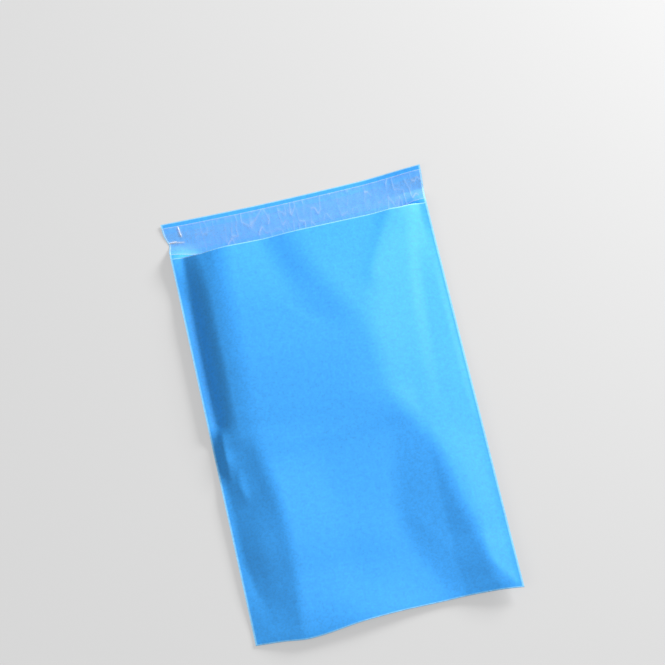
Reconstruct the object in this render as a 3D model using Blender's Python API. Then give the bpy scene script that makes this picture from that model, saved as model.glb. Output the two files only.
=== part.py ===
"""A blue polyethylene mailing bag, lying on its back with its mouth held open by its own creases.

The bag is one length of film, folded at the bottom and welded down both sides. Its back
panel runs on past the mouth as the closing flap, which carries a line of adhesive under a
clear release liner. Sizes are in metres, +Z is up: X runs across the bag, Y from the bottom
fold to the flap, and the back panel lies on the ground at Z = 0.
"""

from collections import namedtuple

import bmesh
import bpy
import numpy as np

# The flat bag, before it is opened
BAG_WIDTH = 0.280
BAG_LENGTH = 0.420
FLAP_DEPTH = 0.042
FILM = 0.00008
WELD_WIDTH = 0.003
WELD_BEAD = 0.0002

# How much narrower the opened bag is than the flat one, at the fold and at the mouth
FOLD_NARROWING = 0.002
MOUTH_NARROWING = 0.007

# Height of the side welds above the ground, halfway along and at the mouth
WELD_LIFT = 0.0065
MOUTH_WELD_LIFT = 0.0055

# The bottom fold lies in a long S: its two ends, its low place and its high place
FOLD_END_LIFT = 0.0035
FOLD_LOW_LIFT = 0.0004
FOLD_HIGH_LIFT = 0.0085
FOLD_SWAY = 0.0032

# Width of the sloping margins, where the back and front panels leave the welds and the fold
BACK_MARGIN = 0.034
FOLD_MARGIN = 0.070
FLANGE = 0.004

# The flap: its crease, and how far its free edge stands off the ground
FLAP_CREASE_SHARE = 0.52
FLAP_TIP_LIFT = 0.0030
FLAP_MIDDLE_LIFT = 0.0006

# The closure on the flap
ADHESIVE_WIDTH = 0.018
ADHESIVE_THICKNESS = 0.00012
LINER_WIDTH = 0.030
LINER_THICKNESS = 0.00005
LINER_FROM_MOUTH = 0.0055
END_INSET = 0.0006
SEAT_GAP = 0.0001

# Facets: cells across and along the bag
CELLS_ACROSS = 32
CELLS_ALONG = 40

# A fold of the front panel: height (negative for a valley), half width of its flanks,
# radius of its crest, and its path as (share across from the middle, share along).
Fold = namedtuple("Fold", "height flank crest path")

FRONT_FOLDS = {
    "right_shoulder": Fold(0.0042, 0.015, 0.008, [
        (0.74, 1.00), (0.45, 0.81), (0.37, 0.70), (0.34, 0.57), (0.52, 0.48),
        (0.64, 0.38), (0.72, 0.22), (0.80, 0.09)]),
    "left_lower_ridge": Fold(0.0064, 0.022, 0.008, [(-0.60, 0.46), (-0.58, 0.24), (-0.60, 0.06)]),
    "left_lower_valley": Fold(-0.0024, 0.010, 0.005, [(-0.92, 0.29), (-0.88, 0.14), (-0.74, 0.05)]),
    "lower_valley": Fold(-0.0050, 0.036, 0.012, [(0.10, 0.33), (0.30, 0.20), (0.42, 0.05)]),
    "slanting_valley": Fold(-0.0034, 0.014, 0.008, [(-0.24, 0.95), (-0.02, 0.84), (0.34, 0.76)]),
    "right_groove": Fold(-0.0028, 0.006, 0.004, [(0.87, 1.00), (0.88, 0.79), (0.84, 0.57)]),
    "foot_ridge": Fold(0.0022, 0.010, 0.006, [(-0.57, 0.49), (0.00, 0.47), (0.50, 0.49)]),
    "edge_notch": Fold(-0.0034, 0.006, 0.004, [(-0.955, 0.54), (-0.93, 0.45)]),
    "edge_pucker": Fold(0.0026, 0.006, 0.004, [(-0.91, 0.42), (-0.85, 0.36)]),
    "small_crease": Fold(0.0010, 0.006, 0.003, [(-0.26, 0.82), (-0.04, 0.745)]),
    "corner_ridge": Fold(0.0026, 0.008, 0.005, [(0.78, 0.13), (0.82, 0.07), (0.97, 0.01)]),
}

# Height of the front panel over the seams, as (share along, metres)
LOFT = [(0.00, 0.008), (0.22, 0.0125), (0.44, 0.0145), (0.54, 0.0190), (0.72, 0.0215), (1.00, 0.0175)]
# Width of the front panel's slopes down to each weld, as (share along, metres)
LEFT_SLOPE = [(0.00, 0.052), (0.44, 0.050), (0.56, 0.028), (1.00, 0.026)]
RIGHT_SLOPE = [(0.00, 0.042), (0.40, 0.046), (0.56, 0.080), (0.78, 0.066), (1.00, 0.030)]

BLUE = (0.045, 0.352, 0.913, 1.0)
GLUE = (0.80, 0.78, 0.70, 1.0)
CLEAR = (0.90, 0.94, 0.97, 0.35)


def ease(value):
    """A smooth step from 0 to 1 as value goes from 0 to 1."""
    value = np.clip(value, 0.0, 1.0)
    return value * value * (3.0 - 2.0 * value)


def between(stations, share):
    """A value that eases from each (share, value) station to the next."""
    share = np.asarray(share, float)
    found = np.full(share.shape, stations[0][1], float)
    for (start, low), (end, high) in zip(stations, stations[1:]):
        found = np.where(share >= start, low + (high - low) * ease((share - start) / (end - start)), found)
    return found


def distance_to_path(x, y, path):
    """Distance in the sheet from each point to a path of (share across, share along) points."""
    nearest = np.full(np.shape(x), np.inf)
    route = [np.array((across * BAG_WIDTH / 2, along * BAG_LENGTH)) for across, along in path]
    for start, end in zip(route, route[1:]):
        step = end - start
        share = ((x - start[0]) * step[0] + (y - start[1]) * step[1]) / (step @ step)
        share = np.clip(share, 0.0, 1.0)
        away = np.hypot(x - start[0] - share * step[0], y - start[1] - share * step[1])
        nearest = np.minimum(nearest, away)
    return nearest


def from_left(x):
    """Distance of a point from the inner edge of the left weld."""
    return x + BAG_WIDTH / 2 - WELD_WIDTH


def from_right(x):
    """Distance of a point from the inner edge of the right weld."""
    return BAG_WIDTH / 2 - WELD_WIDTH - x


def fold_lift(x):
    """Height of the bottom fold above the ground: low left of the middle, high right of it."""
    across = x / (BAG_WIDTH / 2)
    return between(
        [(-1.0, FOLD_END_LIFT), (-0.55, FOLD_LOW_LIFT), (0.50, FOLD_HIGH_LIFT), (1.0, FOLD_END_LIFT)],
        across,
    )


def seam_height(x, y):
    """Height at which the two layers meet: the fold's height near the fold, the welds' beyond it."""
    side = between(
        [(0.0, FOLD_END_LIFT), (0.45, WELD_LIFT), (1.0, MOUTH_WELD_LIFT)], y / BAG_LENGTH
    )
    near_fold = 1.0 - ease(y / FOLD_MARGIN)
    return side + (fold_lift(x) - side) * near_fold


def panel_margin(x, y, margin):
    """0 on the welds and the bottom fold, rising to 1 one margin inside them."""
    return ease(from_left(x) / margin) * ease(from_right(x) / margin) * ease(y / margin)


def back_height(x, y):
    """Middle surface of the back panel: flat on the ground, and rising to meet the seams."""
    rise = 1.0 - panel_margin(x, y, BACK_MARGIN)
    return FILM / 2 + seam_height(x, y) * rise


def front_height(x, y):
    """Middle surface of the front panel: the loft over the seams, with its folds."""
    along = y / BAG_LENGTH
    slope = (
        ease((from_left(x) - FLANGE) / between(LEFT_SLOPE, along))
        * ease((from_right(x) - FLANGE) / between(RIGHT_SLOPE, along))
        * ease(y / FOLD_MARGIN)
    )
    folds = sum(
        fold.height * np.exp(-(np.hypot(distance_to_path(x, y, fold.path), fold.crest) - fold.crest) / fold.flank)
        for fold in FRONT_FOLDS.values()
    )
    edge = panel_margin(x, y, 3 * FLANGE)
    lift = between(LOFT, along) * slope + folds * edge
    thinnest = 2 * FILM * ease(panel_margin(x, y, FLANGE))
    return 1.5 * FILM + seam_height(x, y) + np.maximum(lift, thinnest)


def flap_height(x, y):
    """Middle surface of the flap, from the back panel at the mouth to its slightly lifted free edge."""
    past = (y - BAG_LENGTH) / FLAP_DEPTH
    at_mouth = back_height(x, np.full(np.shape(y), BAG_LENGTH))
    side = np.abs(x) / (BAG_WIDTH / 2)
    tip = FILM / 2 + FLAP_MIDDLE_LIFT + (FLAP_TIP_LIFT - FLAP_MIDDLE_LIFT) * ease(side)
    laid = at_mouth * (1.0 - ease(past / FLAP_CREASE_SHARE)) + (FILM / 2) * ease(past / FLAP_CREASE_SHARE)
    return laid + (tip - FILM / 2) * np.clip((past - FLAP_CREASE_SHARE) / (1.0 - FLAP_CREASE_SHARE), 0.0, 1.0)


def opened(x, y):
    """Plan position of a point of the flat film once the bag is open: narrower, with the fold's sway."""
    along = np.clip(y / BAG_LENGTH, 0.0, 1.0)
    past = np.clip((y - BAG_LENGTH) / FLAP_DEPTH, 0.0, 1.0)
    narrowing = FOLD_NARROWING + (MOUTH_NARROWING - FOLD_NARROWING) * along
    narrowing = narrowing * (1.0 - ease(past))
    sway = FOLD_SWAY * between([(-1.0, 0.3), (-0.55, -1.0), (0.5, 1.3), (1.0, 0.3)], x / (BAG_WIDTH / 2))
    sway = sway * (1.0 - ease(y / FOLD_MARGIN))
    return x * (1.0 - narrowing / BAG_WIDTH), y + sway


CENTRE_Y = (BAG_LENGTH + FLAP_DEPTH - FOLD_SWAY) / 2


def surface(height, x, y, offset):
    """Points of a film surface: the middle surface moved by offset along its own normal."""
    step = 1e-5
    slope_x = (height(x + step, y) - height(x - step, y)) / (2 * step)
    slope_y = (height(x, y + step) - height(x, y - step)) / (2 * step)
    length = np.sqrt(1.0 + slope_x ** 2 + slope_y ** 2)
    plan_x, plan_y = opened(x, y)
    return np.stack([
        plan_x - offset * slope_x / length,
        plan_y - CENTRE_Y - offset * slope_y / length,
        height(x, y) + offset / length,
    ], axis=-1)


def back_and_flap_height(x, y):
    """Middle surface of the back panel and, past the mouth, of the flap."""
    return np.where(y <= BAG_LENGTH, back_height(x, y), flap_height(x, y))


def columns():
    """Places across the bag: both edges of each weld, and cells that get narrower towards the welds."""
    inner = BAG_WIDTH / 2 - WELD_WIDTH
    share = np.linspace(-1.0, 1.0, CELLS_ACROSS + 1)
    graded = inner * (1.35 * share - 0.35 * share ** 3)
    return np.concatenate([[-BAG_WIDTH / 2], graded, [BAG_WIDTH / 2]])


def flap_rows(start, end):
    """Places along the flap from start to end, at every edge and crease that lies there and between them."""
    glue_start = LINER_FROM_MOUTH + (LINER_WIDTH - ADHESIVE_WIDTH) / 2
    edges = [
        0.0, LINER_FROM_MOUTH, glue_start, FLAP_CREASE_SHARE * FLAP_DEPTH,
        glue_start + ADHESIVE_WIDTH, LINER_FROM_MOUTH + LINER_WIDTH, FLAP_DEPTH,
    ]
    middles = [(low + high) / 2 for low, high in zip(edges, edges[1:])]
    return BAG_LENGTH + np.array([y for y in sorted(edges + middles) if start - 1e-9 <= y <= end + 1e-9])


def rows():
    """Places along the bag and on along the flap."""
    share = np.linspace(0.0, 1.0, CELLS_ALONG + 1)
    bag = BAG_LENGTH * (0.75 * share + 0.25 * share ** 2)
    return np.concatenate([[0.0, WELD_WIDTH / 2], bag[1:], flap_rows(0.0, FLAP_DEPTH)[1:]])


def add_points(mesh, points):
    """Adds a grid of points to the mesh and returns its vertices, row by row."""
    return [[mesh.verts.new(point) for point in row] for row in points]


def add_sheet(mesh, grid, upwards):
    """Adds the triangles of a grid of vertices, facing up or down.

    The last column is cut along its other diagonal, so that no triangle has all its points on a seam.
    """
    for low, high in zip(grid, grid[1:]):
        for i in range(len(low) - 1):
            if i < len(low) - 2:
                triangles = ((low[i], low[i + 1], high[i + 1]), (low[i], high[i + 1], high[i]))
            else:
                triangles = ((low[i], low[i + 1], high[i]), (low[i + 1], high[i + 1], high[i]))
            for corners in triangles:
                mesh.faces.new(corners if upwards else corners[::-1])


def add_strip(mesh, first, second):
    """Adds the faces between two lines of vertices."""
    for i in range(len(first) - 1):
        mesh.faces.new((first[i], first[i + 1], second[i + 1], second[i]))


def finished_object(name, mesh, material):
    """An object from the finished mesh, shaded smooth except at its cut edges."""
    data = bpy.data.meshes.new(name)
    bmesh.ops.recalc_face_normals(mesh, faces=mesh.faces)
    mesh.to_mesh(data)
    mesh.free()
    data.materials.append(material)
    data.shade_smooth()
    data.set_sharp_from_angle(angle=np.radians(40.0))
    made = bpy.data.objects.new(name, data)
    bpy.context.scene.collection.objects.link(made)
    return made


def plain_material(name, colour, roughness):
    """A Principled material of one colour."""
    material = bpy.data.materials.new(name)
    material.use_nodes = True
    shader = material.node_tree.nodes["Principled BSDF"]
    shader.inputs["Base Color"].default_value = colour
    shader.inputs["Roughness"].default_value = roughness
    shader.inputs["Metallic"].default_value = 0.0
    shader.inputs["Alpha"].default_value = colour[3]
    material.diffuse_color = colour
    return material


def film_bag(material):
    """The bag itself: front panel, bottom fold, back panel and flap, in one film with welded sides."""
    across, along = columns(), rows()
    mouth = int(np.argmin(np.abs(along - BAG_LENGTH)))
    last = len(across) - 1
    x, y = np.meshgrid(across, along)
    front = slice(0, mouth + 1)
    mesh = bmesh.new()

    top = add_points(mesh, surface(front_height, x[front], y[front], FILM / 2))
    base = add_points(mesh, surface(back_and_flap_height, x, y, -FILM / 2))
    roof_points = surface(front_height, x[front], y[front], -FILM / 2)
    floor_points = surface(back_and_flap_height, x, y, FILM / 2)

    # The pocket's roof and floor share their vertices along the welds and the fold
    floor = [[None] * len(across) for _ in along]
    roof = [[None] * len(across) for _ in range(mouth + 1)]
    for j in range(len(along)):
        for i in range(len(across)):
            on_flap = j >= mouth
            in_pocket = j >= 1 and 1 <= i <= last - 1
            if on_flap or in_pocket:
                floor[j][i] = mesh.verts.new(floor_points[j][i])
            if in_pocket and j <= mouth:
                seam = j == 1 or i in (1, last - 1)
                roof[j][i] = floor[j][i] if seam else mesh.verts.new(roof_points[j][i])

    # Middle line of each weld's bead and of the bottom fold, rounded outwards
    left, right, fold = [], [], []
    for j in range(mouth + 1):
        for side, line, sign in ((0, left, -1), (last, right, 1)):
            if j == mouth:
                line.append(floor[j][side])
                continue
            point = (np.array(top[j][side].co) + np.array(base[j][side].co)) / 2
            line.append(mesh.verts.new(point + np.array((sign * WELD_BEAD, 0.0, 0.0))))
    for i in range(1, last):
        point = (np.array(top[0][i].co) + np.array(base[0][i].co)) / 2
        fold.append(mesh.verts.new(point - np.array((0.0, FILM, 0.0))))
    fold = [left[0], *fold, right[0]]

    add_sheet(mesh, top, True)
    add_sheet(mesh, base, False)
    add_sheet(mesh, [row[1:last] for row in roof[1:]], False)
    add_sheet(mesh, [row[1:last] for row in floor[1:mouth + 1]], True)
    add_sheet(mesh, floor[mouth:], True)

    for line, side in ((left, 0), (right, last)):
        add_strip(mesh, [row[side] for row in top], line)
        add_strip(mesh, line, [base[j][side] for j in range(mouth + 1)])
        add_strip(mesh, [row[side] for row in floor[mouth:]], [row[side] for row in base[mouth:]])
    add_strip(mesh, top[0], fold)
    add_strip(mesh, fold, base[0])

    add_strip(mesh, top[mouth][1:last], roof[mouth][1:last])
    mesh.faces.new((top[mouth][0], top[mouth][1], floor[mouth][1], floor[mouth][0]))
    mesh.faces.new((top[mouth][last], top[mouth][last - 1], floor[mouth][last - 1], floor[mouth][last]))
    add_strip(mesh, floor[-1], base[-1])
    return finished_object("film_bag", mesh, material)


def flap_strip(name, material, start, width, under, thickness):
    """A thin strip across the flap, lying parallel to its inner face."""
    across = columns()
    across = np.clip(across, -BAG_WIDTH / 2 + END_INSET, BAG_WIDTH / 2 - END_INSET)
    along = flap_rows(start, start + width)
    x, y = np.meshgrid(across, along)
    mesh = bmesh.new()
    low = add_points(mesh, surface(back_and_flap_height, x, y, under))
    high = add_points(mesh, surface(back_and_flap_height, x, y, under + thickness))
    add_sheet(mesh, low, False)
    add_sheet(mesh, high, True)
    add_strip(mesh, low[0], high[0])
    add_strip(mesh, high[-1], low[-1])
    add_strip(mesh, [row[0] for row in high], [row[0] for row in low])
    add_strip(mesh, [row[-1] for row in low], [row[-1] for row in high])
    return finished_object(name, mesh, material)


def main():
    for old in list(bpy.data.objects):
        bpy.data.objects.remove(old)
    film_bag(plain_material("blue_film", BLUE, 0.36))
    glue_start = LINER_FROM_MOUTH + (LINER_WIDTH - ADHESIVE_WIDTH) / 2
    glue_under = FILM / 2 + SEAT_GAP
    flap_strip("adhesive_strip", plain_material("hot_melt_adhesive", GLUE, 0.30),
               glue_start, ADHESIVE_WIDTH, glue_under, ADHESIVE_THICKNESS)
    liner_under = glue_under + ADHESIVE_THICKNESS + SEAT_GAP
    flap_strip("release_liner", plain_material("clear_liner", CLEAR, 0.12),
               LINER_FROM_MOUTH, LINER_WIDTH, liner_under, LINER_THICKNESS)


main()
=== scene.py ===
# %% [markdown]
# # A blue mailing bag, dressed for its picture
#
# The frame holds a plain model of the bag: one piece of thin polyethylene film, a line of
# adhesive on its flap, and the clear liner that covers the adhesive until the bag is closed.
# This lesson makes a finer version of each piece in the same place, gives each its finish,
# and sets the camera, the floor and the lights.

# %% Start from the frame
import math

import bpy
import numpy as np
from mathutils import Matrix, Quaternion, Vector


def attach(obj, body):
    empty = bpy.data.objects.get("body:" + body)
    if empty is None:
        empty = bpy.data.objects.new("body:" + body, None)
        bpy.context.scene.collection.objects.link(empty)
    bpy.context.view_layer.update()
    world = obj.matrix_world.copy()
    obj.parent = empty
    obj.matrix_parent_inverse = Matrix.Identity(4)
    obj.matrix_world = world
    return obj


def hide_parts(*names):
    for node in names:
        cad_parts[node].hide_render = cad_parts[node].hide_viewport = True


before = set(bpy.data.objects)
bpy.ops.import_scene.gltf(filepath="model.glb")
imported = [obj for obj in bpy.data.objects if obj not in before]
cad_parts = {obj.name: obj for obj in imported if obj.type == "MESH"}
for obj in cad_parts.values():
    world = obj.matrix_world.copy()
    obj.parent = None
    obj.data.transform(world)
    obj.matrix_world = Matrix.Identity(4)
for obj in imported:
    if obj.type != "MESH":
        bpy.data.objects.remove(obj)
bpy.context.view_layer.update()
scene = bpy.context.scene
scene.view_settings.view_transform = "Standard"

# %% [markdown]
# ## The camera
#
# The bag lies down, and the camera looks at it from above, about eighteen degrees off
# the vertical, through a long lens. A long lens far away keeps the bag's sides nearly parallel.
# The roll leans the bag to the left in the picture. A camera could be turned with three angles,
# but it is easier to say where it stands and what it looks at, and to let the turn follow.
# Loading the frame leaves its pieces selected, so they are deselected before anything is added.

# %% Camera
CAMERA_AZIMUTH = math.radians(-5.0)
CAMERA_ELEVATION = math.radians(72.4)
CAMERA_ROLL = math.radians(-8.15)
CAMERA_DISTANCE = 3.076
CAMERA_TARGET = Vector((0.0097, 0.0740, 0.010))
CAMERA_LENS = 161.0
SENSOR_WIDTH = 36.0


def deselect_all():
    """Leaves nothing selected, so that the next operator works on the new piece alone."""
    bpy.ops.object.select_all(action="DESELECT")


towards_camera = Vector((
    math.sin(CAMERA_AZIMUTH) * math.cos(CAMERA_ELEVATION),
    -math.cos(CAMERA_AZIMUTH) * math.cos(CAMERA_ELEVATION),
    math.sin(CAMERA_ELEVATION),
))
deselect_all()
bpy.ops.object.camera_add(location=CAMERA_TARGET + CAMERA_DISTANCE * towards_camera)
camera = bpy.context.object
camera.rotation_mode = "QUATERNION"
camera.rotation_quaternion = (-towards_camera).to_track_quat("-Z", "Y") @ Quaternion((0, 0, 1), CAMERA_ROLL)
camera.data.lens = CAMERA_LENS
camera.data.sensor_width = SENSOR_WIDTH
scene.camera = camera
print("camera at", [round(value, 3) for value in camera.location])

# %% [markdown]
# ## The size of the film
#
# The bag is one length of film. It starts at the front panel's mouth edge, runs down to the
# bottom fold, back up as the back panel, and on past the mouth as the flap. A place on the bag
# is given as x across from the middle, and y along from the bottom fold.

# %% Driving sizes, in metres
BAG_WIDTH = 0.280
BAG_LENGTH = 0.420
FLAP_DEPTH = 0.046
FILM = 0.00008
WELD_WIDTH = 0.003
WEB_LENGTH = 2 * BAG_LENGTH + FLAP_DEPTH
FOLD_RADIUS = 0.0004
FOLD_SWAY = 0.0032
CENTRE_Y = (BAG_LENGTH + FLAP_DEPTH - FOLD_SWAY) / 2
HALF = BAG_WIDTH / 2
print("flat web, in mm: %.0f by %.0f" % (1000 * BAG_WIDTH, 1000 * WEB_LENGTH))

# %% [markdown]
# ## Helpers for smooth shapes
#
# The bag's shape is written as stations, which are places with a value at each. One helper eases
# from station to station, and another runs a smooth curve through them. A third turns the corner
# between two flat facets into a soft bend.


# %% Steps, curves and bends
def ease(value):
    """A smooth step from 0 to 1 as value goes from 0 to 1."""
    value = np.clip(value, 0.0, 1.0)
    return value * value * (3.0 - 2.0 * value)


def between(stations, place):
    """A value that eases from each (place, value) station to the next."""
    place = np.asarray(place, float)
    found = np.full(place.shape, stations[0][1], float)
    for (start, low), (end, high) in zip(stations, stations[1:]):
        found = np.where(place >= start, low + (high - low) * ease((place - start) / (end - start)), found)
    return found


def curve(stations, place):
    """A smooth curve through (place, value) stations that never swings past one of them."""
    places, values = np.array(stations, float).T
    run = np.diff(places)
    slope = np.diff(values) / run
    same_way = slope[:-1] * slope[1:] > 0
    mean = 2 * slope[:-1] * slope[1:] / np.where(same_way, slope[:-1] + slope[1:], 1.0)
    tangent = np.concatenate([slope[:1], np.where(same_way, mean, 0.0), slope[-1:]])
    place = np.clip(place, places[0], places[-1])
    before = np.clip(np.searchsorted(places, place, side="right") - 1, 0, len(run) - 1)
    share = (place - places[before]) / run[before]
    leaving = (1 + 2 * share) * (1 - share) ** 2 * values[before]
    start_tilt = share * (1 - share) ** 2 * run[before] * tangent[before]
    arriving = share ** 2 * (3 - 2 * share) * values[before + 1]
    end_tilt = share ** 2 * (1 - share) * run[before] * tangent[before + 1]
    return leaving + start_tilt + arriving - end_tilt


def bent(distance, radius):
    """A line that lies flat, then climbs: 0 before the bend, distance after it, a parabola between."""
    rounded = (distance + radius) ** 2 / (4 * radius)
    climbing = np.where(distance > radius, distance, rounded)
    return np.where(distance < -radius, 0.0, climbing)


print("halfway up the step:", float(ease(0.5)))

# %% [markdown]
# ## How the bag lies
#
# The side welds stay near the ground and the front panel stands up between them, as it does
# when a bag has just been opened. The two panels meet along the welds and the bottom fold. That
# seam is drawn first, because both panels start from it. The fold lies in a long S, the right weld
# arches up a little, the left corner of the mouth lifts, and the left weld dips near its middle
# and curls up between there and the mouth.
#
# A cloth simulation could drop the bag into some such shape, but its folds would fall where they
# like. Here each height is written down, so every fold lies in its place, each time.

# %% Seams
# The fold's places are shares of half the bag's width; all other numbers are metres
WELD_HEIGHT = [(0.0, 0.0035), (0.19, 0.0060), (0.42, 0.0055)]
FOLD_HEIGHT = [
    (-1.2, -0.0012), (-0.60, 0.0084), (-0.2, 0.0104),
    (0.42, 0.0045), (0.88, 0.0098), (1.0, 0.0094),
]
RIGHT_WELD_LIFT = [
    (0.0, 0.0034), (0.05, 0.0062), (0.18, 0.0045),
    (0.27, 0.0010), (0.385, 0.0010), (0.42, 0.0035),
]
LEFT_CORNER_LIFT = [(0.0, 0.0), (0.375, 0.0), (0.42, 0.0045)]
LEFT_WELD_CURL = [
    (0.0, 0.0), (0.155, -0.0004), (0.18, -0.0020), (0.215, -0.0026),
    (0.236, 0.0028), (0.35, 0.0028), (0.40, 0.0),
]
FOLD_REACH = 0.070
# How far from the middle each lift starts, and over what width it grows to its full height
RIGHT_LIFT_START, RIGHT_LIFT_RUN = 0.080, 0.057
LEFT_LIFT_START, LEFT_LIFT_RUN = 0.105, 0.032
CURL_START, CURL_RUN = 0.127, 0.013


def seam_height(x, y):
    """Height at which the two panels meet: the fold's near the fold, and the welds' beyond it."""
    welds = between(WELD_HEIGHT, y)
    fold = between(FOLD_HEIGHT, x / HALF)
    seams = welds + (fold - welds) * (1.0 - ease(y / FOLD_REACH))
    right = between(RIGHT_WELD_LIFT, y) * np.clip((x - RIGHT_LIFT_START) / RIGHT_LIFT_RUN, 0.0, 1.0)
    left = between(LEFT_CORNER_LIFT, y) * np.clip((-x - LEFT_LIFT_START) / LEFT_LIFT_RUN, 0.0, 1.0)
    curl = between(LEFT_WELD_CURL, y) * ease((-x - CURL_START) / CURL_RUN)
    return np.maximum(seams + right + left + curl, 0.0)


def inside_margin(x, y, margin):
    """0 on the welds and the bottom fold, rising to 1 one margin inside them."""
    left, right = x + HALF - WELD_WIDTH, HALF - WELD_WIDTH - x
    return ease(left / margin) * ease(right / margin) * ease(y / margin)


print("height of the fold's middle, in mm: %.1f" % (1000 * float(seam_height(0.0, 0.0))))

# %% [markdown]
# ## The front panel's facets
#
# Film bends easily but hardly stretches, so a film surface is made of nearly flat facets with
# rounded bends between them, and it is drawn that way here.
#
# Nine rails run up the panel. Each has a path and a height over the seams, and between two
# rails the panel is straight across. A bend's radius says how soft it looks: a few millimetres
# on the rails near the welds, and up to thirteen on the rails between them.
# Change one rail's heights and only the two facets beside it tilt.

# %% Rails of the front panel
# Bend radius at the bottom fold and at the mouth, then (along, across, height), all in millimetres
RAILS = {
    "left foot": (3, 2.5, [
        (0, -134, 0), (10, -124, 0.8), (30, -120, 1.0), (60, -127, 0.4), (100, -133, 0.2),
        (150, -132, 0.2), (215, -131, 0.3), (240, -128, 0.3), (300, -127, 0.4), (420, -127, 0.5)]),
    "left bend": (7, 7, [
        (0, -117, 0), (10, -106, 1.2), (30, -103, 3.2), (60, -109, 5.2), (100, -112, 7.8),
        (150, -109, 7.4), (190, -108, 7.8), (215, -112, 9.4), (240, -114, 12.4), (300, -113, 15.0),
        (360, -112, 14.4), (420, -109, 11.2)]),
    "left shoulder": (4, 13, [
        (0, -92, 0), (10, -90, 2.4), (30, -87, 6.4), (60, -84, 10.4), (100, -82, 13.8),
        (150, -85, 15), (190, -91, 13.6), (215, -93, 13.8), (240, -93, 16), (300, -91, 20.2),
        (360, -90, 20.2), (420, -87, 17.8)]),
    "middle": (12, 10, [
        (0, -20, 0), (30, -22, 0.9), (60, -22, 3.4), (100, -25, 7), (150, -30, 9.2),
        (190, -30, 11.4), (215, -30, 13.8), (240, -20, 16.2), (300, 10, 19.8), (340, -15, 19.2),
        (380, -28, 15.8), (420, -40, 12.6)]),
    "slanting ridge": (7, 12, [
        (0, 68, 0), (30, 56, 0.6), (60, 42, 1.2), (100, 34, 2.6), (150, 42, 6.8),
        (190, 50, 11), (215, 36, 15), (240, 20, 17.2), (300, 38, 20.2), (340, 25, 21.8),
        (380, 3, 19.8), (420, -8, 16.4)]),
    "right shoulder": (7, 11, [
        (0, 122, 0), (10, 118, 2.2), (30, 112, 5.2), (60, 108, 7.7), (100, 98, 10.7),
        (150, 90, 12.6), (190, 76, 13), (215, 62, 15.2), (240, 51, 16.9), (300, 51, 19.7),
        (340, 62, 18.4), (380, 82, 15.4), (420, 103, 12.8)]),
    "right ridge": (5, 6, [
        (0, 126, 0), (10, 122, 1.4), (30, 118, 3.8), (60, 115, 6.2), (100, 108, 8.7),
        (150, 102, 10), (190, 97, 8.8), (215, 96, 8.4), (240, 97, 8.3), (300, 101, 8.5),
        (340, 105, 8.3), (380, 112, 8.2), (420, 119, 8)]),
    "right groove": (5, 6, [
        (0, 130, 0), (10, 128, 0.6), (30, 125, 2.3), (60, 121, 4.4), (100, 115, 6.8),
        (150, 109, 8.2), (190, 104, 7.3), (215, 103, 6.6), (240, 104, 6.3), (300, 109, 5.4),
        (340, 113, 4.8), (380, 119, 4.8), (420, 126, 4.0)]),
    "right foot": (2, 2, [
        (0, 134, 0), (10, 134, 0.1), (30, 133, 0.5), (60, 132, 1.2), (215, 131, 1.6),
        (300, 131, 1.8), (420, 131, 0.8)]),
}
EDGE_BEND = 1.0


def rail_lift(x, y):
    """Height of the facets between the rails, over the seams."""
    x, y = x * 1000.0, y * 1000.0
    edge = 1000.0 * (HALF - WELD_WIDTH)
    lines = [(-edge, 0.0, EDGE_BEND)]
    for low_bend, high_bend, stations in RAILS.values():
        across = curve([(along, side) for along, side, height in stations], y)
        height = curve([(along, height) for along, side, height in stations], y)
        lines.append((across, height, low_bend + (high_bend - low_bend) * y / (1000.0 * BAG_LENGTH)))
    lines.append((edge, 0.0, EDGE_BEND))
    lift, slope = 0.0, 0.0
    for (start, low, radius), (end, high, _) in zip(lines, lines[1:]):
        next_slope = (high - low) / (end - start)
        lift = lift + (next_slope - slope) * bent(x - start, radius)
        slope = next_slope
    return (lift - slope * bent(x - edge, EDGE_BEND)) / 1000.0


print("rails:", len(RAILS))

# %% [markdown]
# ## The front panel's small folds
#
# The rails give the big facets. Small folds lie on top: each is a ridge along a path, with its
# own height, a flank on either side, and a taper that lets both ends sink into the film. The
# steep one at the left edge makes the notch near the bag's middle. Such folds could be sculpted
# with a brush, but a fold that is a path and five numbers is easier to move later.

# %% Small folds of the front panel
# Height, west flank, east flank, crest radius and taper in millimetres, then the path,
# from its end nearer the mouth, or from the left for the one that runs across
SMALL_FOLDS = {
    "small crease": (0.16, 5, 2.5, 0.8, 8, [(-40, 345), (-22, 330), (-9, 315), (-5, 306)]),
    "upper fold": (1.2, 8, 10, 3, 24, [(112, 440), (84, 395), (66, 360), (60, 335)]),
    "edge notch": (4.4, 3.2, 12, 2.5, 26, [(-126, 240), (-129, 207), (-128, 172)]),
    "edge pucker": (1.6, 8, 5, 2, 18, [(-117, 188), (-120, 168), (-115, 142)]),
    "foot ridge": (0.7, 12, 9, 5, 25, [(-90, 200), (0, 196), (76, 202)]),
    "corner ridge": (0.8, 7, 6, 2.5, 14, [(110, 66), (113, 34), (124, 16), (142, 1)]),
    "valley streak": (0.35, 9, 9, 3, 25, [(40, 112), (64, 72), (92, 32)]),
}
FOLDS_MARGIN = 0.008


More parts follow.
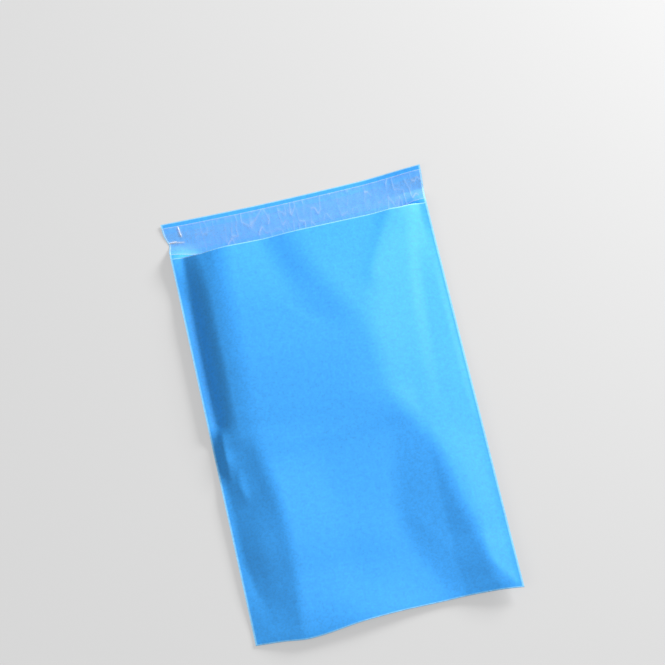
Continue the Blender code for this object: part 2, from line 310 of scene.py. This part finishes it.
def small_fold(x, y, fold):
    """Height of one small fold."""
    height, west, east, crest, taper, path = fold
    x, y = x * 1000.0, y * 1000.0
    nearest = np.full(np.shape(x), np.inf)
    side, along = np.zeros(np.shape(x)), np.zeros(np.shape(x))
    length = 0.0
    for start, end in zip(path, path[1:]):
        run, rise = end[0] - start[0], end[1] - start[1]
        size = math.hypot(run, rise)
        share = np.clip(((x - start[0]) * run + (y - start[1]) * rise) / size ** 2, 0.0, 1.0)
        away = np.hypot(x - start[0] - share * run, y - start[1] - share * rise)
        closer = away < nearest
        nearest = np.where(closer, away, nearest)
        side = np.where(closer, run * (y - start[1]) - rise * (x - start[0]), side)
        along = np.where(closer, length + share * size, along)
        length += size
    flank = np.where(side > 0, east, west)
    ends = ease(along / taper) * ease((length - along) / taper)
    return height / 1000.0 * np.exp(-(np.hypot(nearest, crest) - crest) / flank) * ends


def front_lift(x, y):
    """Height of the front panel over the seams."""
    folds = sum(small_fold(x, y, fold) for fold in SMALL_FOLDS.values())
    return np.maximum(rail_lift(x, y) + folds * inside_margin(x, y, FOLDS_MARGIN), 0.0)


print("small folds:", len(SMALL_FOLDS))

# %% [markdown]
# ## The back panel and the flap
#
# The back panel is flat on the ground and rises to meet the seams near its edges. The flap runs
# on from it. It comes down from the mouth to a crease, and its free edge lifts a little again.

# %% Heights of the back panel and the flap
BACK_MARGIN = 0.034
# The crease's place, as a share of the flap's depth
FLAP_CREASE = 0.43
FLAP_TIP_LIFT = [(-1.0, 0.0022), (-0.2, 0.0006), (0.5, 0.0012), (1.0, 0.0075)]


def back_height(x, y):
    """Height of the back panel: flat on the ground, and rising to meet the seams."""
    return FILM / 2 + seam_height(x, y) * (1.0 - inside_margin(x, y, BACK_MARGIN))


def flap_height(x, past):
    """Height of the flap, where past goes from 0 at the mouth to 1 at the free edge."""
    mouth = back_height(x, np.full(np.shape(x), BAG_LENGTH))
    laid = mouth + (FILM / 2 - mouth) * ease(past / FLAP_CREASE)
    beyond_crease = np.clip((past - FLAP_CREASE) / (1.0 - FLAP_CREASE), 0.0, 1.0)
    return laid + between(FLAP_TIP_LIFT, x / HALF) * beyond_crease


print("free edge's right corner, in mm: %.1f high" % (1000 * float(flap_height(HALF, 1.0))))

# %% [markdown]
# ## From the flat web to the bag
#
# Film hardly stretches, so a panel that stands up draws its welds together, and the opened bag is
# a little narrower. `opened` gives that plan, with the fold's sway, the reach of the mouth's
# corners, the flap's bow, and the pinch where its crease meets the left edge.
#
# `place_on_bag` takes points of the flat web, with x across and s along from the front
# panel's mouth edge, and gives their places on the opened bag.

# %% Places on the bag
NARROWING = 0.004
MORE_AT_MOUTH = 0.0015
# Places are shares of half the bag's width; the sway's values are shares of FOLD_SWAY
SWAY = [
    (-1.0, 1.25), (-0.80, 0.25), (-0.60, -0.9), (-0.15, 0.7),
    (0.2, 1.3), (0.5, 1.3), (0.8, 0.5), (1.0, -0.5),
]
MOUTH_REACH = [(-1.0, 0.0035), (-0.74, 0.0), (0.55, 0.0), (0.76, 0.0008), (0.92, 0.0030), (1.0, 0.0026)]
MOUTH_RUN = 0.070
FLAP_BOW = 0.0020
FLAP_PINCH = 0.0024
PINCH_WIDTH = 0.018
PINCH_HEIGHT = 0.16
# The panels keep this far apart, and the fold's roundness has gone this far from it
PANEL_GAP = 0.00001
ROUND_REACH = 0.02


def opened(x, y):
    """Plan position of a point once the bag is open."""
    along, past = np.clip(y / BAG_LENGTH, 0, 1), np.clip((y - BAG_LENGTH) / FLAP_DEPTH, 0, 1)
    narrowing = (NARROWING + MORE_AT_MOUTH * along) * (1.0 - ease(past))
    sway = FOLD_SWAY * curve(SWAY, x / HALF)
    bow = FLAP_BOW * (1.0 - (x / HALF) ** 2) * ease(past / FLAP_CREASE)
    near_mouth = ease((y - BAG_LENGTH + MOUTH_RUN) / MOUTH_RUN)
    reach = between(MOUTH_REACH, x / HALF) * near_mouth * (1.0 - past)
    crease = (y - BAG_LENGTH) / FLAP_DEPTH - FLAP_CREASE
    near_crease = np.exp(-(crease / PINCH_HEIGHT) ** 2)
    pinch = FLAP_PINCH * near_crease * ease((-x - HALF + PINCH_WIDTH) / PINCH_WIDTH)
    plan_x = x * (1.0 - narrowing / BAG_WIDTH) + pinch
    return plan_x, y + sway * (1.0 - ease(y / FOLD_REACH)) - bow + reach - CENTRE_Y


def place_on_bag(x, s):
    """Places of points of the flat web on the opened bag."""
    from_fold = np.abs(s - BAG_LENGTH)
    on_front = s <= BAG_LENGTH
    # The film turns round the bottom fold on a small radius
    turn = np.clip(from_fold / FOLD_RADIUS, 0, math.pi / 2)
    y = from_fold - FOLD_RADIUS * (turn - 1.0 + np.cos(turn)) * (from_fold > 0)
    roundness = (FOLD_RADIUS - FILM / 2) * np.sin(turn) * (1.0 - ease(from_fold / ROUND_REACH))
    half_gap = FILM / 2 + PANEL_GAP + roundness
    plan_x, plan_y = opened(x, y)
    seam = seam_height(x, y)
    front = FILM + seam + half_gap + front_lift(x, y)
    back = np.maximum(back_height(x, y) + FILM / 2 - half_gap, FILM / 2)
    flap = flap_height(x, np.clip((y - BAG_LENGTH) / FLAP_DEPTH, 0, 1))
    height = np.where(on_front, front, np.where(y <= BAG_LENGTH, back, flap))
    return np.stack([plan_x, plan_y, height], axis=-1)


mouth_middle = place_on_bag(np.zeros(1), np.zeros(1))[0]
print("middle of the mouth's edge, in mm: %.1f high" % (1000 * mouth_middle[2]))

# %% [markdown]
# ## The film
#
# The real film is one web, folded once and welded down both sides. Two panels could be modelled
# and joined, but the web keeps the film in one piece round the fold, as it is. A grid primitive is
# the flat web. Its rows are close together at the bottom fold, where the film turns sharply, and
# its columns are close together at the welds. The Solidify modifier then gives it its thickness.

# %% Columns and rows of the web
COLUMNS = 120
FRONT_ROWS = 170
FLAP_ROWS = 22
WELD_CROWDING = 0.25
FOLD_CROWDING = 0.2
# Rows round the fold's bend, as shares of its quarter turn, and the first ones past it
FOLD_ROWS = [0.25, 0.5, 0.75, 1.0, 1.5, 2.5, 4.5]


def web_columns():
    """Places across the web, closer together towards the welds."""
    share = np.linspace(-1.0, 1.0, COLUMNS + 1)
    return HALF * ((1.0 + WELD_CROWDING) * share - WELD_CROWDING * share ** 3)


def web_rows():
    """Places along the web, closer together towards the bottom fold."""
    share = np.linspace(0.0, 1.0, FRONT_ROWS + 1)
    turn = FOLD_RADIUS * math.pi / 2 * np.array(FOLD_ROWS)
    crowded = (1.0 - FOLD_CROWDING) * share + FOLD_CROWDING * share ** 2
    run = turn[-1] + (BAG_LENGTH - turn[-1]) * crowded
    from_fold = np.concatenate([[0.0], turn[:-1], run])
    flap = 2 * BAG_LENGTH + FLAP_DEPTH * np.linspace(0.0, 1.0, FLAP_ROWS + 1)[1:]
    return np.concatenate([(BAG_LENGTH - from_fold)[::-1], (BAG_LENGTH + from_fold)[1:], flap])


print("web:", len(web_columns()), "columns and", len(web_rows()), "rows")

# %% [markdown]
# The same two helpers make the film and, later, both strips. The sheet's UV map keeps its flat
# size, so that a material can work along the web however the film is folded.


# %% Make the film
SMOOTH_ANGLE = math.radians(60.0)


def add_sheet(name, across, along, place):
    """A grid primitive with the given columns and rows, put in place, with its flat size in its UV map."""
    deselect_all()
    columns, rows = len(across) - 1, len(along) - 1
    bpy.ops.mesh.primitive_grid_add(x_subdivisions=columns, y_subdivisions=rows, size=1.0)
    piece = bpy.context.object
    piece.name = piece.data.name = name
    x, s = np.meshgrid(across, along)
    piece.data.vertices.foreach_set("co", place(x, s).reshape(-1))
    corners = np.empty(len(piece.data.loops), int)
    piece.data.loops.foreach_get("vertex_index", corners)
    flat = np.stack([(x + HALF) / WEB_LENGTH, s / WEB_LENGTH], axis=-1).reshape(-1, 2)
    piece.data.uv_layers.active.data.foreach_set("uv", flat[corners].reshape(-1))
    piece.data.update()
    return piece


def finish_sheet(piece, thickness):
    """Thickness for a sheet, and smooth shading except over its sharp edges."""
    solid = piece.modifiers.new("thickness", "SOLIDIFY")
    solid.thickness = thickness
    solid.offset = 0.0
    bpy.ops.object.modifier_apply(modifier=solid.name)
    bpy.ops.object.shade_smooth_by_angle(angle=SMOOTH_ANGLE)
    print(piece.name, len(piece.data.polygons), "faces")


film = add_sheet("film", web_columns(), web_rows(), place_on_bag)
finish_sheet(film, FILM)

# %% [markdown]
# ## The adhesive
#
# The adhesive is a thin line of clear hot melt along the flap. A curve with a flat profile could
# draw it, but a sheet that is placed as the film is follows the flap's crease without a gap.
# It lies a hair above the flap. Hot melt never spreads quite evenly, so it is slightly wavy.

# %% Make the adhesive
LINER_FROM_MOUTH = 0.005
LINER_WIDTH = 0.036
ADHESIVE_WIDTH = 0.022
ADHESIVE_FROM_MOUTH = LINER_FROM_MOUTH + (LINER_WIDTH - ADHESIVE_WIDTH) / 2
ADHESIVE_THICKNESS = 0.00010
ADHESIVE_RISE = 0.00013
ADHESIVE_WAVE = 0.00004
WAVES_ACROSS = 900
WAVES_ALONG = 1300
ADHESIVE_ROWS = 13
STRIP_INSET = 0.0008
STRIP_COLUMNS = 541


def on_flap(rise):
    """A placing function for a strip that lies over the flap, rise(x, s) above it."""
    def place(x, s):
        points = place_on_bag(x, s)
        points[..., 2] += rise(x, s)
        return points
    return place


def adhesive_rise(x, s):
    """Height of the adhesive over the flap, with its slight waves."""
    return FILM / 2 + ADHESIVE_RISE + ADHESIVE_WAVE * np.sin(x * WAVES_ACROSS) * np.sin(s * WAVES_ALONG)


strip_across = np.linspace(-HALF + STRIP_INSET, HALF - STRIP_INSET, STRIP_COLUMNS)
adhesive_along = 2 * BAG_LENGTH + ADHESIVE_FROM_MOUTH + np.linspace(0, ADHESIVE_WIDTH, ADHESIVE_ROWS)
# The adhesive is smooth, so every third column of the liner's is enough
adhesive = add_sheet("adhesive", strip_across[::3], adhesive_along, on_flap(adhesive_rise))
finish_sheet(adhesive, ADHESIVE_THICKNESS)

# %% [markdown]
# ## The liner's creases
#
# The liner is stiffer than it looks, and every bend that it has had leaves a small white crease,
# so it is crinkled all along. The crumples are facets, one round each point of a shaken grid.
# Where two neighbours tilt differently there is a crease between them. A crease's whiteness is
# partly the film's own stress whitening and partly a painted glint. Three longer creases, which
# catch the light, lie at the left end, with painted glints that are whiter still, and the facets
# only start beyond most of them.

# %% Places and tilts of the facets, in millimetres
# The long creases: middle from the left edge and from the mouth, angle in degrees, half length,
# and depth, which also sets the strength of the crease's painted glint
END_CREASES = [(4, 22.5, 4, 9, 1.0), (13, 22, -5, 8, 0.45), (17.5, 34.5, 94, 8, 0.9)]
# The grid of the facets: first place, end and spacing, and how far each is shaken from its place
GRID_ACROSS, SHAKE_ACROSS = (3.0, 280.0, 6.5), 3.0
GRID_ALONG, SHAKE_ALONG = (-8.0, 56.0, 15.0), 7.0
rng = np.random.default_rng(7)
grid = np.meshgrid(np.arange(*GRID_ACROSS), np.arange(*GRID_ALONG))
facet_across, facet_along = [side.ravel() for side in grid]
facet_across = facet_across + rng.uniform(-SHAKE_ACROSS, SHAKE_ACROSS, facet_across.size)
facet_along = facet_along + rng.uniform(-SHAKE_ALONG, SHAKE_ALONG, facet_along.size)
facet_tilt = rng.uniform(0.0, 1.0, facet_across.size)
print("facets in the liner:", len(facet_tilt))

# %% [markdown]
# A crease is a height and a whiteness at once. Its whiteness is partly the film's stress whitening
# and partly a painted glint. Both could come from one texture, but a shape that is seen belongs in
# the mesh. So the height goes into the mesh, and the whiteness, painted glint and all, is kept on
# its points for the material.

# %% Height of the creases, and their whiteness with its painted glint
# A facet reaches further along the web than across it
FACET_STRETCH = 0.35
# The least difference of tilt that makes a crease, and how much more makes it a full one
LEAST_TILT, FULL_TILT = 0.25, 0.6
CREASE_WIDTH = 0.8
CREASE_WHITE_AND_GLINT = 0.17
CREASE_HEIGHT = 0.25
FACET_SLOPE = 0.09
FACETS_START, FACETS_RUN = 20.0, 6.0
END_CREASE_WIDTH = 0.55
END_CREASE_HEIGHT = 0.8


def creasing(x, s):
    """Height of the crumpled liner in millimetres, and how white each place is from being creased, with a
    painted glint on the creases.
    """
    across, along = (x + HALF) * 1000.0, (s - 2 * BAG_LENGTH) * 1000.0
    away = np.hypot(across[..., None] - facet_across, FACET_STRETCH * (along[..., None] - facet_along))
    order = np.argsort(away, axis=-1)[..., :2]
    nearest, second = np.moveaxis(np.take_along_axis(away, order, axis=-1), -1, 0)
    tilts = facet_tilt[order]
    difference = np.abs(tilts[..., 0] - tilts[..., 1])
    strength = np.clip((difference - LEAST_TILT) / FULL_TILT, 0.0, 1.0)
    strength = strength * ease((across - FACETS_START) / FACETS_RUN)
    sharp = strength * np.exp(-(second - nearest) / CREASE_WIDTH)
    # Stress whitening with a painted glint along the facets' creases
    white_and_glint = CREASE_WHITE_AND_GLINT * sharp
    height = FACET_SLOPE * nearest + CREASE_HEIGHT * sharp
    for middle_across, middle_along, angle, length, depth in END_CREASES:
        turn = math.radians(angle)
        right, up = across - middle_across, along - middle_along
        run = right * math.cos(turn) + up * math.sin(turn)
        off = np.abs(up * math.cos(turn) - right * math.sin(turn))
        fold = depth * np.exp(-off / END_CREASE_WIDTH) * ease(2.0 * (1.0 - np.abs(run) / length))
        # The long creases' whiteness is their stress whitening with a strong painted glint
        white_and_glint = np.maximum(white_and_glint, fold)
        height = np.maximum(height, END_CREASE_HEIGHT * fold)
    return height, white_and_glint


print("long creases:", len(END_CREASES))

# %% [markdown]
# ## The liner
#
# The liner is a fine grid, because its creases are narrow. It could be crumpled with a Displace
# modifier, but placing its points directly keeps its height and its whiteness in step. Its cut
# edges get a painted highlight as well, because an edge of clear film catches the light.

# %% Make the liner
LINER_ROWS = 71
LINER_THICKNESS = 0.00005
LINER_RISE = 0.00034
# Painted highlight along the liner's cut edges
EDGE_HIGHLIGHT = 0.30
EDGE_WIDTH = 0.0005


def liner_rise(x, s):
    """Height of the crumpled liner over the flap."""
    return LINER_RISE + 0.001 * creasing(x, s)[0]


def mark(piece, name, values):
    """Keeps one number for each point of a sheet, for its material to read."""
    layer = piece.data.attributes.new(name, "FLOAT", "POINT")
    layer.data.foreach_set("value", np.asarray(values, "f").reshape(-1))


liner_along = 2 * BAG_LENGTH + LINER_FROM_MOUTH + np.linspace(0, LINER_WIDTH, LINER_ROWS)
liner = add_sheet("liner", strip_across, liner_along, on_flap(liner_rise))
x, s = np.meshgrid(strip_across, liner_along)
end_distance = np.minimum(s - liner_along[0], liner_along[-1] - s)
side_distance = np.minimum(x - strip_across[0], strip_across[-1] - x)
# A painted highlight along the cut edges, joined to the creases' whiteness
edge_highlight = EDGE_HIGHLIGHT * np.exp(-np.minimum(end_distance, side_distance) / EDGE_WIDTH)
mark(liner, "whitening_and_glint", np.maximum(creasing(x, s)[1], edge_highlight))
finish_sheet(liner, LINER_THICKNESS)

# %% [markdown]
# ## The film's surface
#
# The film's surface is one node group, so that its grain and the painted highlights on its welds,
# its fold and its cut edges stay together and can be used again on another colour of film. A
# picture of film could do the same, but noise needs no file and never repeats. The group works in
# metres on the flat web, which it reads from the UV map. It gives a colour, a roughness and a
# height. The shader itself, with the settings that are the same all over, stays in the material.


# %% Node helpers and the group's sockets
def add_node(tree, kind, inputs=None, **settings):
    """A node with its settings and its unlinked input values."""
    node = tree.nodes.new(kind)
    for key, value in settings.items():
        setattr(node, key, value)
    for key, value in (inputs or {}).items():
        node.inputs[key].default_value = value
    return node


def new_material(name):
    """An empty material with a Principled shader, and that shader."""
    material = bpy.data.materials.new(name)
    material.use_nodes = True
    return material, material.node_tree, material.node_tree.nodes["Principled BSDF"]


film_surface = bpy.data.node_groups.new("film_surface", "ShaderNodeTree")
GROUP_INPUTS = [
    ("Colour", "NodeSocketColor", (1, 1, 1, 1)),
    ("Highlight Colour", "NodeSocketColor", (1, 1, 1, 1)),
    ("Seam Highlight", "NodeSocketFloat", 1.0),
    ("Roughness", "NodeSocketFloat", 0.4),
]
GROUP_OUTPUTS = [
    ("Colour", "NodeSocketColor"),
    ("Roughness", "NodeSocketFloat"),
    ("Height", "NodeSocketFloat"),
]
for name, kind, value in GROUP_INPUTS:
    made = film_surface.interface.new_socket(name, in_out="INPUT", socket_type=kind)
    made.default_value = value
for name, kind in GROUP_OUTPUTS:
    film_surface.interface.new_socket(name, in_out="OUTPUT", socket_type=kind)
print("sockets of", film_surface.name + ":", len(film_surface.interface.items_tree))

# %% [markdown]
# Blown film has a fine grain, a coarser mottle, and faint streaks along the direction in which it
# was drawn. Each is a noise, and the streaks are a noise that is stretched along the web.

# %% Grain, mottle and streaks
MOTTLE = {"Scale": 180.0, "Detail": 3.0, "Roughness": 0.6}
GRAIN = {"Scale": 430.0, "Detail": 2.0, "Roughness": 0.65}
STREAK_SCALE = 320.0
STREAK_STRETCH = 0.05

group_in = add_node(film_surface, "NodeGroupInput")
group_out = add_node(film_surface, "NodeGroupOutput")
link = film_surface.links.new
uv = add_node(film_surface, "ShaderNodeUVMap")
metres = add_node(film_surface, "ShaderNodeVectorMath", operation="SCALE")
metres.inputs["Scale"].default_value = WEB_LENGTH
link(uv.outputs["UV"], metres.inputs[0])

grain = add_node(film_surface, "ShaderNodeTexNoise", GRAIN)
mottle = add_node(film_surface, "ShaderNodeTexNoise", MOTTLE)
stretch = add_node(film_surface, "ShaderNodeMapping", {"Scale": (1.0, STREAK_STRETCH, 1.0)})
streaks = add_node(film_surface, "ShaderNodeTexNoise", {"Scale": STREAK_SCALE, "Detail": 2.0})
for texture in (grain, mottle):
    link(metres.outputs[0], texture.inputs["Vector"])
link(metres.outputs[0], stretch.inputs["Vector"])
link(stretch.outputs[0], streaks.inputs["Vector"])
print("textures:", grain.name, mottle.name, streaks.name)

# %% [markdown]
# A weld, a fold and a cut edge catch the light, and here that highlight is painted into the
# colour, paler than the open film. Each is a soft line at its known place on the web, and the
# strongest of the three is used.

# %% Painted highlights along the welds, the fold and the cut edges
# How far inside its edge each line starts and is full; the fold's are distances from the fold
WELD_LINE = (0.0024, 0.0009)
FOLD_LINE = (0.0020, 0.0007)
CUT_LINE = (0.0014, 0.0004)


def maths(operation, first, second=None):
    """A Math node in the group; numbers are set and sockets are linked."""
    node = add_node(film_surface, "ShaderNodeMath", operation=operation)
    for place, value in enumerate((first, second)):
        if value is None:
            continue
        if isinstance(value, (int, float)):
            node.inputs[place].default_value = value
        else:
            link(value, node.inputs[place])
    return node.outputs[0]


def line(place, start, full):
    """A soft mask that goes from 0 at start to 1 at full."""
    node = add_node(film_surface, "ShaderNodeMapRange", {"From Min": start, "From Max": full},
                    interpolation_type="SMOOTHSTEP")
    link(place, node.inputs["Value"])
    return node.outputs[0]


split = add_node(film_surface, "ShaderNodeSeparateXYZ")
link(metres.outputs[0], split.inputs[0])
from_middle = maths("ABSOLUTE", maths("SUBTRACT", split.outputs[0], HALF))
from_fold = maths("ABSOLUTE", maths("SUBTRACT", split.outputs[1], BAG_LENGTH))
from_middle_of_web = maths("ABSOLUTE", maths("SUBTRACT", split.outputs[1], WEB_LENGTH / 2))
weld_line = line(from_middle, HALF - WELD_LINE[0], HALF - WELD_LINE[1])
fold_line = line(from_fold, FOLD_LINE[0], FOLD_LINE[1])
cut_line = line(from_middle_of_web, WEB_LENGTH / 2 - CUT_LINE[0], WEB_LENGTH / 2 - CUT_LINE[1])
# Painted highlight: the welds, the fold and the cut edges, where they catch the light
seam_highlight = maths("MAXIMUM", maths("MAXIMUM", weld_line, fold_line), cut_line)
seam_highlight_strength = maths("MULTIPLY", seam_highlight, group_in.outputs["Seam Highlight"])
print("pale lines, in mm:", [round(1000 * pair[0], 1) for pair in (WELD_LINE, FOLD_LINE, CUT_LINE)])

# %% [markdown]
# The group's outputs join these. The colour is the film's, with the painted highlight paler on the
# lines, and made lighter and darker by the mottle and the grain. The roughness follows the grain,
# and the height adds up all three textures.

# %% Colour, roughness and height of the group
MOTTLE_TONE = 0.36
GRAIN_TONE = 0.50
LEAST_TONE = 0.57
GRAIN_ROUGHNESS = 0.16
GRAIN_HEIGHT = 0.35
MOTTLE_HEIGHT = 0.5
STREAK_HEIGHT = 0.25
NOISE_MIDDLE = 0.5

# The paler colour mixed in along the lines is a painted highlight
pale = add_node(film_surface, "ShaderNodeMix", data_type="RGBA")
link(seam_highlight_strength, pale.inputs["Factor"])
link(group_in.outputs["Colour"], pale.inputs["A"])
link(group_in.outputs["Highlight Colour"], pale.inputs["B"])
mottle_tone = maths("MULTIPLY", mottle.outputs["Fac"], MOTTLE_TONE)
grain_tone = maths("MULTIPLY", grain.outputs["Fac"], GRAIN_TONE)
tone = maths("ADD", maths("ADD", mottle_tone, grain_tone), LEAST_TONE)
toned = add_node(film_surface, "ShaderNodeVectorMath", operation="SCALE")
link(pale.outputs["Result"], toned.inputs[0])
link(tone, toned.inputs["Scale"])
link(toned.outputs[0], group_out.inputs["Colour"])

grain_roughness = maths("MULTIPLY", maths("SUBTRACT", grain.outputs["Fac"], NOISE_MIDDLE), GRAIN_ROUGHNESS)
link(maths("ADD", group_in.outputs["Roughness"], grain_roughness), group_out.inputs["Roughness"])

grain_height = maths("MULTIPLY", grain.outputs["Fac"], GRAIN_HEIGHT)
mottle_height = maths("MULTIPLY", mottle.outputs["Fac"], MOTTLE_HEIGHT)
streak_height = maths("MULTIPLY", streaks.outputs["Fac"], STREAK_HEIGHT)
link(maths("ADD", maths("ADD", grain_height, mottle_height), streak_height), group_out.inputs["Height"])
print("nodes in", film_surface.name + ":", len(film_surface.nodes))

# %% [markdown]
# ## The blue film
#
# The film is dyed through and has a soft satin shine. A glossier film would turn white where it is
# seen low against the key light.

# %% Blue film
FILM_BLUE = (0.030, 0.372, 0.965, 1.0)
# The paler blue is a painted highlight on the welds, the fold and the cut edges
SEAM_HIGHLIGHT_BLUE = (0.24, 0.62, 0.97, 1.0)
FILM_ROUGHNESS = 0.71
FILM_SHINE = 0.65

blue, tree, shader = new_material("blue_film")
surface = add_node(tree, "ShaderNodeGroup", node_tree=film_surface)
surface.inputs["Colour"].default_value = FILM_BLUE
surface.inputs["Highlight Colour"].default_value = SEAM_HIGHLIGHT_BLUE
surface.inputs["Roughness"].default_value = FILM_ROUGHNESS
bump = add_node(tree, "ShaderNodeBump", {"Strength": 0.55, "Distance": 0.00014})
tree.links.new(surface.outputs["Colour"], shader.inputs["Base Color"])
tree.links.new(surface.outputs["Roughness"], shader.inputs["Roughness"])
tree.links.new(surface.outputs["Height"], bump.inputs["Height"])
tree.links.new(bump.outputs[0], shader.inputs["Normal"])
shader.inputs["Specular IOR Level"].default_value = FILM_SHINE
film.data.materials.append(blue)
print("film's finish:", blue.name)

# %% [markdown]
# ## The clear pieces
#
# The adhesive is nearly clear. The liner is clear film too, but a crease in clear film turns
# white, and its creases and cut edges catch the light. So the liner's mesh carries a number for
# each point, which makes the creases and the cut edges less clear and less smooth than the rest:
# stress whitening with a painted glint on the creases, and a painted highlight on the cut edges.
# Each sheet has two surfaces, and both are seen through, so the values of Alpha are low.

# %% Adhesive
GLUE_TINT = (0.78, 0.86, 0.90, 1.0)
GLUE_ROUGHNESS = 0.25
GLUE_ALPHA = 0.02

glue, tree, shader = new_material("hot_melt_adhesive")
shader.inputs["Base Color"].default_value = GLUE_TINT
shader.inputs["Roughness"].default_value = GLUE_ROUGHNESS
shader.inputs["Alpha"].default_value = GLUE_ALPHA
lumps = add_node(tree, "ShaderNodeTexNoise", {"Scale": 420.0, "Detail": 2.0})
place = add_node(tree, "ShaderNodeTexCoord")
bump = add_node(tree, "ShaderNodeBump", {"Strength": 0.5, "Distance": 0.0002})
tree.links.new(place.outputs["Object"], lumps.inputs["Vector"])
tree.links.new(lumps.outputs["Fac"], bump.inputs["Height"])
tree.links.new(bump.outputs[0], shader.inputs["Normal"])
adhesive.data.materials.append(glue)
print("adhesive's finish:", glue.name)

# %% Liner
LINER_TINT = (0.92, 0.95, 0.98, 1.0)
# Smooth liner first, then fully whitened liner with its painted glints and highlights
LINER_ALPHA = (0.040, 0.80)
LINER_ROUGHNESS = (0.14, 0.42)

clear, tree, shader = new_material("clear_liner")
shader.inputs["Base Color"].default_value = LINER_TINT
# The liner's whiteness, with its painted glints and highlights, read from its points
whitening_and_glint = add_node(tree, "ShaderNodeAttribute", attribute_name="whitening_and_glint", attribute_type="GEOMETRY")
for (smooth, white_and_glint), socket in ((LINER_ALPHA, "Alpha"), (LINER_ROUGHNESS, "Roughness")):
    ramp = add_node(tree, "ShaderNodeMapRange", {"To Min": smooth, "To Max": white_and_glint})
    tree.links.new(whitening_and_glint.outputs["Fac"], ramp.inputs["Value"])
    tree.links.new(ramp.outputs[0], shader.inputs[socket])
liner.data.materials.append(clear)
print("liner's finish:", clear.name)

# %% [markdown]
# ## The floor
#
# The floor is a large pale sheet. More light would make it pale too, but it would bleach the bag.
# So most of its paleness is a glow that only the camera, reflections and the clear pieces see, and
# it lights nothing. The rest is plain grey paint, which keeps the bag's shadow and stays below
# white in the picture even where the key light is near.

# %% Floor
FLOOR_SIZE = 8.0
FLOOR_HEIGHT = -0.0002
FLOOR_GREY = (0.24, 0.24, 0.24, 1.0)
FLOOR_ROUGHNESS = 0.9
FLOOR_SHINE = 0.1
FLOOR_GLOW = 0.46
WHITE = (1.0, 1.0, 1.0, 1.0)

deselect_all()
bpy.ops.mesh.primitive_plane_add(size=FLOOR_SIZE, location=(0, 0, FLOOR_HEIGHT))
floor = bpy.context.object
floor.name = "floor"
paper, tree, shader = new_material("floor_paper")
shader.inputs["Base Color"].default_value = FLOOR_GREY
shader.inputs["Roughness"].default_value = FLOOR_ROUGHNESS
shader.inputs["Specular IOR Level"].default_value = FLOOR_SHINE
shader.inputs["Emission Color"].default_value = WHITE
rays = add_node(tree, "ShaderNodeLightPath")
seen = rays.outputs["Is Camera Ray"]
for kind in ("Is Glossy Ray", "Is Transmission Ray"):
    either = add_node(tree, "ShaderNodeMath", operation="MAXIMUM")
    tree.links.new(seen, either.inputs[0])
    tree.links.new(rays.outputs[kind], either.inputs[1])
    seen = either.outputs[0]
glow = add_node(tree, "ShaderNodeMath", operation="MULTIPLY")
glow.inputs[1].default_value = FLOOR_GLOW
tree.links.new(seen, glow.inputs[0])
tree.links.new(glow.outputs[0], shader.inputs["Emission Strength"])
floor.data.materials.append(paper)
print("floor:", floor.name, "with", paper.name)

# %% [markdown]
# ## The lights
#
# A light from straight above would hide the folds, because it meets all of the film alike. The
# soft key light stands low on the right, beyond the mouth, and grazes the film, which is what
# makes the shallow folds readable. A weak fill from the left and an even world keep the slopes
# that turn away from going dark.

# %% Lights
WORLD_LIGHT = 0.27


def add_softbox(name, location, size, power):
    """A square area light that faces the middle of the bag."""
    deselect_all()
    bpy.ops.object.light_add(type="AREA", location=location)
    lamp = bpy.context.object
    lamp.name = lamp.data.name = name
    lamp.rotation_euler = (-Vector(location)).to_track_quat("-Z", "Y").to_euler()
    lamp.data.shape = "SQUARE"
    lamp.data.size = size
    lamp.data.energy = power


add_softbox("key", location=(1.59, 0.99, 0.95), size=0.85, power=80.0)
add_softbox("fill", location=(-1.4, -0.6, 1.8), size=1.6, power=10.0)
world = bpy.data.worlds.new("studio")
scene.world = world
world.use_nodes = True
background = world.node_tree.nodes["Background"]
background.inputs["Color"].default_value = WHITE
background.inputs["Strength"].default_value = WORLD_LIGHT
print("lamps:", [lamp.name for lamp in bpy.data.lights])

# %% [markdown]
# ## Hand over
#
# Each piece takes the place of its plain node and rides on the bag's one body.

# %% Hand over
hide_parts("film_bag")
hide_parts("adhesive_strip")
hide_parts("release_liner")
for piece, slot in ((film, "blue_film"), (adhesive, "hot_melt_adhesive"), (liner, "clear_liner")):
    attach(piece, "root")
